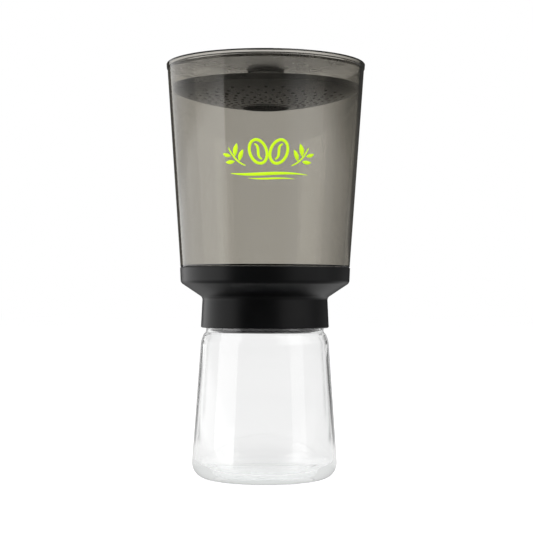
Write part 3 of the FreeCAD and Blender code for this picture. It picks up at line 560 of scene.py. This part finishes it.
brushStrokes = [
    ([(-24, -9.4), (-12, -11.4), (0, -9.6), (12, -8.6), (25, -10.2)], (0.15, 1.2, 1, 0.9, 0.1), 1.15),
    ([(-13, -12.6), (-6, -13.6), (2, -13.0), (9, -12.2), (17, -13.0)], (0.1, 1, 1, 0.8, 0.1), 0.7)]


def inkStroke(points, shares, halfWidth):
    bpy.ops.curve.primitive_nurbs_path_add(location=(0, 0, 0))
    stroke = bpy.context.object
    for point, (across, up), share in zip(stroke.data.splines[0].points, points, shares):
        point.co = (across * mm, up * mm, 0, 1)
        point.radius = share
    return inkRibbon(stroke, halfWidth)


def inkLoop(centre, halfSizes, turn, halfWidth):
    bpy.ops.curve.primitive_nurbs_circle_add(radius=1, location=(0, 0, 0))
    loop = bpy.context.object
    turned = Matrix.Rotation(radians(turn), 2)
    for point in loop.data.splines[0].points:
        place = turned @ Vector((point.co.x * halfSizes[0], point.co.y * halfSizes[1])) + Vector(centre)
        point.co = (place.x * mm, place.y * mm, 0, point.co.w)
    return inkRibbon(loop, halfWidth)


def inkRibbon(curveObject, halfWidth):
    curve = curveObject.data
    curve.dimensions = "3D"
    curve.twist_mode = "Z_UP"
    curve.resolution_u = printPlace["smoothness"]
    curve.extrude = halfWidth * mm
    for point in curve.splines[0].points:
        point.tilt = pi / 2
    return curveObject


def beanStrokes(side):
    b = beanShape
    centre = Vector((side * b["apart"] / 2, b["rise"]))
    turned = Matrix.Rotation(radians(-side * b["tilt"]), 2)
    places = [turned @ Vector((side * across, up)) + centre for across, up in b["seam"]]
    return [
        inkLoop(centre, (b["halfWidth"], b["halfHeight"]), -side * b["tilt"], b["line"]),
        inkStroke(places, b["seamShares"], b["line"])]


def sprayStrokes(side):
    s = sprayShape
    stem = [(side * across, up) for across, up in s["stem"]]
    strokes = [inkStroke(stem, s["stemShares"], s["stemLine"])]
    for foot, tip, halfWidth in s["leaves"]:
        foot, tip = Vector(foot), Vector(tip)
        bow = Vector((tip.y - foot.y, foot.x - tip.x)) * s["bow"]
        way = [foot.lerp(tip, step) + bow * (1 - abs(2 * step - 1)) for step in s["leafSteps"]]
        leaf = [(side * place.x, place.y) for place in way]
        strokes.append(inkStroke(leaf, s["leafShares"], halfWidth))
    return strokes


def printPiece():
    p = printPlace
    strokes = []
    for side in (-1, 1):
        strokes += beanStrokes(side) + sprayStrokes(side)
    for points, shares, halfWidth in brushStrokes:
        strokes.append(inkStroke(points, shares, halfWidth))
    bpy.ops.object.select_all(action="DESELECT")
    for stroke in strokes:
        stroke.select_set(True)
    bpy.context.view_layer.objects.active = strokes[0]
    bpy.ops.object.convert(target="MESH")
    bpy.ops.object.join()
    piece = bpy.context.object
    piece.name = "limePrint"
    piece.rotation_euler = (pi / 2, 0, 0)
    piece.location = (p["aside"] * mm, -p["front"] * mm, p["height"] * mm)
    bpy.ops.object.transform_apply(location=True, rotation=True, scale=True)
    bpy.ops.object.modifier_add(type="SHRINKWRAP")
    wrap = piece.modifiers[-1]
    wrap.target = bpy.data.objects["smokyContainer"]
    wrap.wrap_method = "PROJECT"
    wrap.use_project_y = True
    wrap.offset = p["lift"] * mm
    bpy.ops.object.modifier_apply(modifier=wrap.name)
    bpy.ops.object.modifier_add(type="SOLIDIFY")
    piece.modifiers[-1].thickness = p["thickness"] * mm
    piece.modifiers[-1].offset = 0
    bpy.ops.object.modifier_apply(modifier=piece.modifiers[-1].name)
    bpy.ops.object.mode_set(mode="EDIT")
    weldAndTurnOut(p["weld"])
    fitPiece(piece, "brewer", "smoked_plastic", material=ink)


carafePiece()
containerPiece()
housingPiece()
lidPiece()
lidKnobPiece()
printPiece()


# World: plain for lighting the object, white to the camera, and a studio ring of soft
# panels and dark flags for what glass, plastic and metal reflect and bend.
# Angles are degrees from the camera's side, to the right, and levels are shares of white.
# Names that end in From and Up are slopes of a ray, between which one ring gives way to the next.
studio = {
    "plain": 0.75,
    "reflected": [(-180, 0.05), (-150, 0.05), (-146, 1.6), (-118, 1.6), (-110, 1.9), (-50.5, 1.9),
                  (-50, 0.01), (20, 0.01), (40, 0.95), (78, 0.95), (88, 0.7), (100, 0.3), (140, 0.2),
                  (157, 0.05), (180, 0.05)],
    "raisedFrom": 0.012, "raisedUp": 0.036,
    "raised": [(-180, 0.05), (-150, 0.05), (-146, 1.3), (-115, 1.0), (-95, 0.6), (-56, 0.5), (-42, 0.01),
               (20, 0.01), (40, 0.1), (180, 0.05)],
    "highFrom": 0.16, "highUp": 0.22,
    "high": [(-180, 0.05), (-150, 0.2), (-50, 0.4), (-40, 0.02), (20, 0.02), (35, 1.7), (85, 1.7),
             (100, 0.3), (180, 0.05)],
    "seenThrough": [(-180, 0.92), (-165, 0.92), (-163, 0.3), (-157, 0.3), (-154, 0.92), (140, 0.92),
                    (150, 0.3), (157, 0.3), (164, 0.38), (171, 0.55), (175, 0.8), (177, 0.92),
                    (180, 0.92)],
    "seenHighFrom": 0.085, "seenHighUp": 0.115,
    "seenHigh": [(-180, 0.92), (-165, 0.92), (-163, 0.3), (-157, 0.3), (-154, 0.92), (135, 0.92),
                 (145, 0.08), (165, 0.12), (172, 0.35), (176, 0.8), (178, 0.92), (180, 0.92)],
    "flagLow": 0.0, "flagHigh": 0.24, "seenElsewhere": 0.92}


def rampBy(tree, value, stops, span=360, middle=0.5, ease="LINEAR"):
    ramp = addNode(tree, "ShaderNodeValToRGB", {}, {"Fac": value})
    ramp.color_ramp.interpolation = ease
    elements = ramp.color_ramp.elements
    while len(elements) < len(stops):
        elements.new(1.0)
    for element, (place, level) in zip(elements, stops):
        element.position = place / span + middle
        element.color = grey(level)
    return ramp.outputs["Color"]


def rangeShare(tree, value, low, high):
    return addNode(tree, "ShaderNodeMapRange", {}, {
        "Value": value, "From Min": low, "From Max": high}).outputs["Result"]


def rampsMixed(tree, share, value, first, second):
    return mixColours(tree, share, rampBy(tree, value, first), rampBy(tree, value, second))


def turnOf(tree, ways):
    towards = mathNode(tree, "MULTIPLY", ways.outputs["Y"], -1.0)
    angle = mathNode(tree, "ARCTAN2", ways.outputs["X"], towards)
    return mathNode(tree, "MULTIPLY_ADD", angle, 1 / (2 * pi), 0.5)


def buildWorld():
    s = studio
    world = bpy.data.worlds.new("studio")
    bpy.context.scene.world = world
    world.use_nodes = True
    tree = world.node_tree
    tree.nodes.clear()
    path = addNode(tree, "ShaderNodeLightPath")
    coords = addNode(tree, "ShaderNodeTexCoord")
    ways = addNode(tree, "ShaderNodeSeparateXYZ", {}, {"Vector": coords.outputs["Generated"]})
    turn = turnOf(tree, ways)
    slope = ways.outputs["Z"]
    highShare = rangeShare(tree, slope, s["seenHighFrom"], s["seenHighUp"])
    flagged = rampsMixed(tree, highShare, turn, s["seenThrough"], s["seenHigh"])
    above = mathNode(tree, "GREATER_THAN", slope, s["flagHigh"])
    below = mathNode(tree, "LESS_THAN", slope, s["flagLow"])
    seen = mixColours(tree, mathNode(tree, "ADD", above, below), flagged, grey(s["seenElsewhere"]))
    rising = rangeShare(tree, slope, s["raisedFrom"], s["raisedUp"])
    overhead = rangeShare(tree, slope, s["highFrom"], s["highUp"])
    ring = rampsMixed(tree, rising, turn, s["reflected"], s["raised"])
    reflected = mixColours(tree, overhead, ring, rampBy(tree, turn, s["high"]))
    level = mixColours(tree, path.outputs["Is Camera Ray"], grey(s["plain"]), grey(1))
    level = mixColours(tree, path.outputs["Is Glossy Ray"], level, reflected)
    level = mixColours(tree, path.outputs["Is Transmission Ray"], level, seen)
    back = addNode(tree, "ShaderNodeBackground", {}, {"Color": level, "Strength": 1.0})
    addNode(tree, "ShaderNodeOutputWorld", {}, {"Surface": back.outputs["Background"]})


# Lamps: soft panels that stand around the object and aim at its middle, out of sight.
lampAim = (0, 0, 150)
lampPanels = {
    "leftPanel": {"angle": -70, "height": 450, "distance": 1100, "size": (900, 1100), "power": 6.0},
    "rightPanel": {"angle": 60, "height": 500, "distance": 1200, "size": (600, 1000), "power": 2.5},
    "topPanel": {"angle": 0, "height": 1300, "distance": 300, "size": (1000, 1000), "power": 5.0}}


def addLamp(name, panel):
    way = radians(panel["angle"])
    place = Vector((sin(way) * panel["distance"], -cos(way) * panel["distance"], panel["height"])) * mm
    bpy.ops.object.light_add(type="AREA", location=place)
    lamp = bpy.context.object
    lamp.name = name
    lamp.data.shape = "RECTANGLE"
    lamp.data.size = panel["size"][0] * mm
    lamp.data.size_y = panel["size"][1] * mm
    lamp.data.energy = panel["power"]
    lamp.rotation_euler = (Vector(lampAim) * mm - place).to_track_quat("-Z", "Y").to_euler()
    lamp.visible_glossy = False
    lamp.visible_camera = False


# Floor: white where it is looked at. Through the glass it shows a painted glow, raised right under the object
# where it fills in the object's shadow, with two painted dark patches far behind that draw the glass's dark
# edges.
# Reflections see a painted copy of the studio's ring on it, and a dimmer painted one close to the object.
# Its size and the ways along it are in metres.
floorStudio = {
    "size": 12, "drop": 0.2, "roughness": 0.9, "tone": (3.0, 2.0), "dark": (0.79, 0.79, 0.79),
    "light": (0.81, 0.81, 0.81), "seen": 0.4, "span": 2.0,
    # painted glow seen through the glass, by distance: raised under the object to fill in its shadow
    "paintedGlow": [(0.0, 0.24), (0.055, 0.24), (0.09, 0.08), (0.23, 0.05), (0.67, 0.14), (1.04, 0.21),
             (1.6, 0.26)],
    # painted dark patches far behind, seen only through the glass
    "edgeLevel": 0.0, "edgeFrom": 0.24, "edgeUp": 0.34,
    "edge": [(-180, 0), (-161, 0), (-158, 1), (-148, 1), (-143, 0), (143, 0), (148, 1), (158, 1),
             (161, 0), (180, 0)],
    "near": 0.08, "far": 1.2,
    # painted reflection on the floor: a dimmer ring close to the object, and the studio's ring farther out
    "paintedNearRing": [(-180, 0.05), (-155, 0.6), (-125, 0.6), (-100, 0.3), (-50, 0.3), (-40, 0.05), (15, 0.08),
              (38, 0.25), (100, 0.3), (125, 0.8), (150, 0.8), (165, 0.1), (180, 0.05)],
    "paintedReflection": [(-180, 0.05), (-150, 0.05), (-146, 1.6), (-118, 1.6), (-110, 1.9), (-60, 1.9),
                 (-44, 0.03), (20, 0.03), (40, 0.55), (78, 0.6), (88, 0.6), (100, 0.3), (140, 0.2),
                 (157, 0.05), (180, 0.05)]}


def addFloor():
    f = floorStudio
    bpy.ops.mesh.primitive_plane_add(size=f["size"], location=(0, 0, -f["drop"] * mm))
    floor = bpy.context.object
    floor.name = "floor"
    material, tree, shader = startMaterial("paleFloor", {
        "Roughness": f["roughness"], "Specular IOR Level": 0.0, "Emission Color": grey(1)})
    tone = tintBetween(tree, objectNoise(tree, *f["tone"]), f["dark"], f["light"])
    tree.links.new(tone, shader.inputs["Base Color"])
    path = addNode(tree, "ShaderNodeLightPath")
    throughGlass = path.outputs["Is Transmission Ray"]
    coords = addNode(tree, "ShaderNodeTexCoord")
    ways = addNode(tree, "ShaderNodeSeparateXYZ", {}, {"Vector": coords.outputs["Object"]})
    length = addNode(tree, "ShaderNodeVectorMath", {"operation": "LENGTH"}, {0: coords.outputs["Object"]})
    away = length.outputs["Value"]
    turn = turnOf(tree, ways)
    # Seen through the glass, the floor has a painted glow by distance, raised under the object to fill in its
    # shadow.
    paintedGlow = rampBy(tree, mathNode(tree, "DIVIDE", away, f["span"]), f["paintedGlow"], f["span"], 0, "B_SPLINE")
    straight = mathNode(tree, "MULTIPLY", path.outputs["Is Camera Ray"], f["seen"])
    glow = mathNode(tree, "MULTIPLY_ADD", throughGlass, paintedGlow, straight)
    tree.links.new(glow, shader.inputs["Emission Strength"])
    opening = rangeShare(tree, away, f["near"], f["far"])
    # In reflections the floor shows a painted copy of the studio's ring, dimmer close to the object.
    paintedReflection = addNode(tree, "ShaderNodeEmission", {}, {
        "Color": rampsMixed(tree, opening, turn, f["paintedNearRing"], f["paintedReflection"])})
    bounced = mathNode(tree, "SUBTRACT", path.outputs["Is Glossy Ray"], throughGlass)
    surface = mixShaders(tree, mathNode(tree, "MAXIMUM", bounced, 0.0), shader.outputs["BSDF"],
                         paintedReflection.outputs["Emission"])
    # Two painted dark patches far behind, seen only through the glass, draw the glass's dark edges.
    farOff = mathNode(tree, "MULTIPLY", throughGlass, rangeShare(tree, away, f["edgeFrom"], f["edgeUp"]))
    paintedEdgeShade = mathNode(tree, "MULTIPLY", farOff, rampBy(tree, turn, f["edge"]))
    flag = addNode(tree, "ShaderNodeEmission", {}, {"Strength": f["edgeLevel"]})
    showSurface(tree, mixShaders(tree, paintedEdgeShade, surface, flag.outputs["Emission"]))
    giveMaterial(floor, material)


buildWorld()
for lampName, lampPanel in lampPanels.items():
    addLamp(lampName, lampPanel)
addFloor()
bpy.context.scene.view_settings.view_transform = "Standard"
print("studio built")
